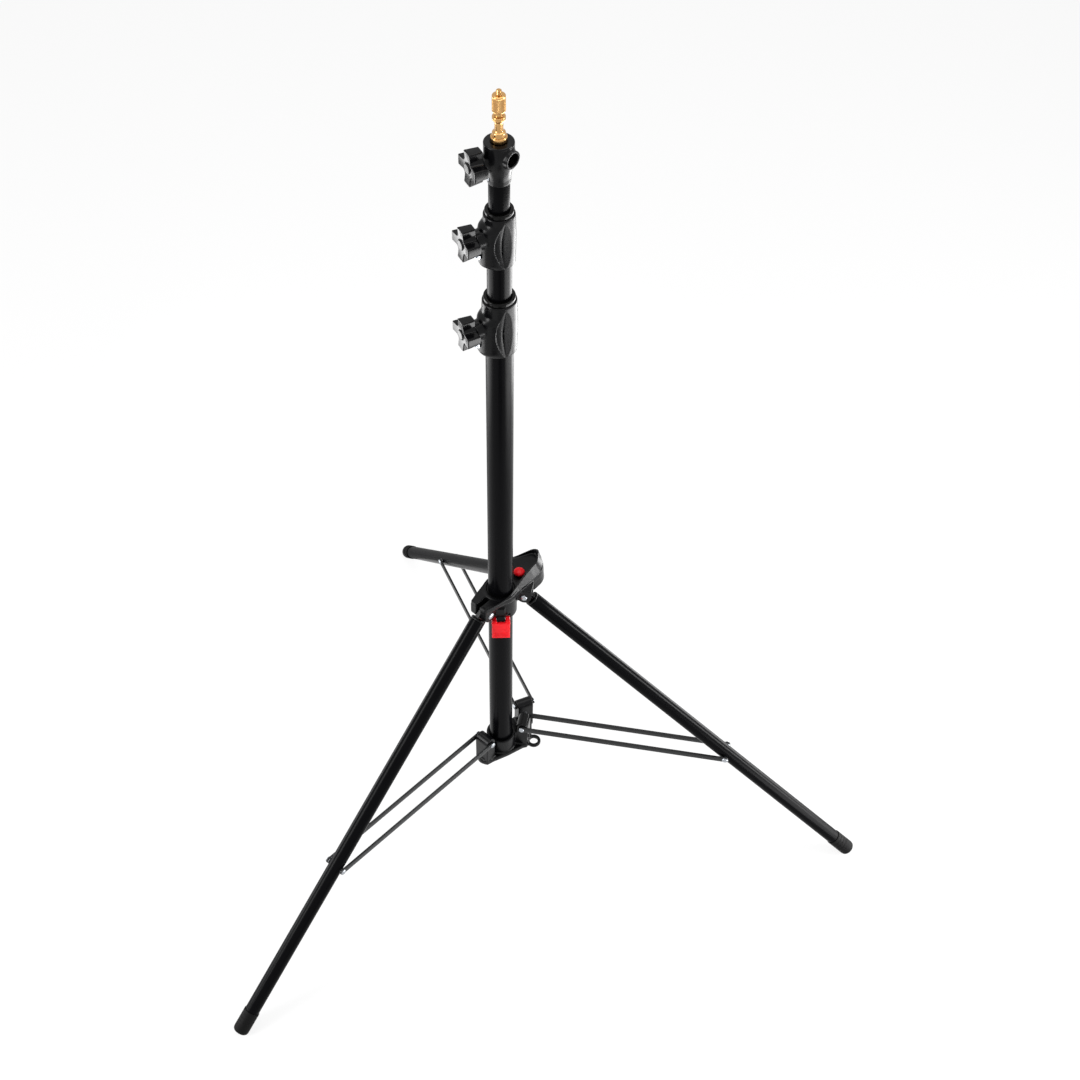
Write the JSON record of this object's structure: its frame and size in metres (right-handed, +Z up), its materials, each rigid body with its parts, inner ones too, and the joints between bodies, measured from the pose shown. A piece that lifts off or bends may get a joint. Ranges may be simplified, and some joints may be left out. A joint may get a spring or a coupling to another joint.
{
  "type": "folding light stand",
  "caption": "Folding black light stand: telescopic column with clamp collars and lobed knobs on a sliding-hub tripod with double stays, brass spigot in a top socket.",
  "frame": {"origin": "point of the floor under the column axis", "axes": "+Z up along the column; the front leg runs towards -Y"},
  "size_m": [0.9788, 0.8853, 1.3511],
  "materials": {
    "anodised": "satin black anodised tube",
    "cast": "black coated casting",
    "knob": "black moulded knob",
    "plastic": "black moulded bearing plastic",
    "zinc": "zinc plated",
    "brass": "turned brass",
    "red": "red moulded nylon",
    "stay": "dark grey coated flat bar",
    "rubber": "black moulded rubber"
  },
  "bodies": {
    "base": {"base_column": "anodised", "column_plug": "plastic", "lower_hub": "cast", "lower_collar": "cast", "lower_bush": "plastic", "lower_clamp_nut": "zinc", "lower_clamp_shoe": "plastic", "stay_pin_front": "zinc", "stay_pin_right": "zinc", "stay_pin_left": "zinc"},
    "lower_knob": {"lower_knob": "knob", "lower_knob_bolt": "zinc"},
    "riser_1": {"riser_tube_1": "anodised", "riser_piston_1": "plastic", "middle_collar": "cast", "middle_bush": "plastic", "middle_clamp_nut": "zinc", "middle_clamp_shoe": "plastic"},
    "middle_knob": {"middle_knob": "knob", "middle_knob_bolt": "zinc"},
    "riser_2": {"riser_tube_2": "anodised", "riser_piston_2": "plastic", "top_socket": "cast", "socket_screw": "zinc"},
    "socket_knob": {"socket_knob": "knob", "socket_knob_bolt": "zinc"},
    "spigot": {"spigot": "brass"},
    "adapter": {"thread_adapter": "brass"},
    "hub": {"upper_hub": "cast", "hub_bush": "plastic", "lever_pin": "zinc", "leg_pin_front": "zinc", "leg_pin_right": "zinc", "leg_pin_left": "zinc"},
    "cam_lever": {"cam_lever": "red"},
    "push_button": {"push_button": "red"},
    "leg_front": {"leg_tube_front": "anodised", "leg_fitting_front": "cast", "leg_foot_front": "rubber"},
    "stays_front": {"stay_front_a": "stay", "stay_front_b": "stay", "stay_rivet_front_a": "zinc", "stay_rivet_front_b": "zinc"},
    "leg_right": {"leg_tube_right": "anodised", "leg_fitting_right": "cast", "leg_foot_right": "rubber"},
    "stays_right": {"stay_right_a": "stay", "stay_right_b": "stay", "stay_rivet_right_a": "zinc", "stay_rivet_right_b": "zinc"},
    "leg_left": {"leg_tube_left": "anodised", "leg_fitting_left": "cast", "leg_foot_left": "rubber"},
    "stays_left": {"stay_left_a": "stay", "stay_left_b": "stay", "stay_rivet_left_a": "zinc", "stay_rivet_left_b": "zinc"}
  },
  "joints": [
    {"name": "riser_1_slide", "type": "slide", "parent": "base", "child": "riser_1", "axis": [0, 0, 1], "range_m": [-0.045, 0.72]},
    {"name": "riser_2_slide", "type": "slide", "parent": "riser_1", "child": "riser_2", "axis": [0, 0, 1], "range_m": [-0.03, 0.72]},
    {"name": "hub_slide", "type": "slide", "parent": "base", "child": "hub", "axis": [0, 0, 1], "range_m": [0, 0.43978]},
    {"name": "leg_fold_front", "type": "hinge", "parent": "hub", "child": "leg_front", "pos_m": [0, -0.0355, 0.50972], "axis": [1, 0, 0], "range_deg": [0, 46.52]},
    {"name": "stay_fold_front", "type": "hinge", "parent": "base", "child": "stays_front", "pos_m": [0, -0.0355, 0.197], "axis": [-1, 0, 0], "range_deg": [0, 87.74]},
    {"name": "leg_fold_right", "type": "hinge", "parent": "hub", "child": "leg_right", "pos_m": [0.02066, 0.02886, 0.50972], "axis": [-0.515, 0.8572, 0], "range_deg": [0, 46.52]},
    {"name": "stay_fold_right", "type": "hinge", "parent": "base", "child": "stays_right", "pos_m": [0.02066, 0.02886, 0.197], "axis": [0.515, -0.8572, 0], "range_deg": [0, 87.74]},
    {"name": "leg_fold_left", "type": "hinge", "parent": "hub", "child": "leg_left", "pos_m": [-0.00293, 0.05592, 0.50972], "axis": [-0.4067, -0.9135, 0], "range_deg": [0, 46.52]},
    {"name": "stay_fold_left", "type": "hinge", "parent": "base", "child": "stays_left", "pos_m": [-0.00293, 0.05592, 0.197], "axis": [0.4067, 0.9135, 0], "range_deg": [0, 87.74]},
    {"name": "lower_knob_turn", "type": "hinge", "parent": "base", "child": "lower_knob", "pos_m": [-0.01368, -0.03759, 1.025], "axis": [-0.342, -0.9397, 0], "range_deg": [-30, 330]},
    {"name": "middle_knob_turn", "type": "hinge", "parent": "riser_1", "child": "middle_knob", "pos_m": [-0.01197, -0.03289, 1.16], "axis": [-0.342, -0.9397, 0], "range_deg": [-30, 330]},
    {"name": "socket_knob_turn", "type": "hinge", "parent": "riser_2", "child": "socket_knob", "pos_m": [-0.00958, -0.02631, 1.262], "axis": [-0.342, -0.9397, 0], "range_deg": [-30, 330]},
    {"name": "lever_open", "type": "hinge", "parent": "hub", "child": "cam_lever", "pos_m": [0.01709, -0.0177, 0.49002], "axis": [-0.7193, -0.6947, 0], "range_deg": [0, 70]},
    {"name": "button_press", "type": "slide", "parent": "hub", "child": "push_button", "axis": [0, 0, 1], "range_m": [-0.003, 0], "stiffness_N_per_m": 400},
    {"name": "spigot_lift", "type": "slide", "parent": "riser_2", "child": "spigot", "axis": [0, 0, 1], "range_m": [0, 0.047]},
    {"name": "adapter_lift", "type": "slide", "parent": "spigot", "child": "adapter", "axis": [0, 0, 1], "range_m": [0, 0.005]}
  ],
  "couplings": [
    {"joint": "leg_fold_front", "follows": "hub_slide", "rad_per_m": 1.8454},
    {"joint": "stay_fold_front", "follows": "hub_slide", "rad_per_m": 3.4811},
    {"joint": "leg_fold_right", "follows": "hub_slide", "rad_per_m": 1.8454},
    {"joint": "stay_fold_right", "follows": "hub_slide", "rad_per_m": 3.4811},
    {"joint": "leg_fold_left", "follows": "hub_slide", "rad_per_m": 1.8454},
    {"joint": "stay_fold_left", "follows": "hub_slide", "rad_per_m": 3.4811}
  ]
}
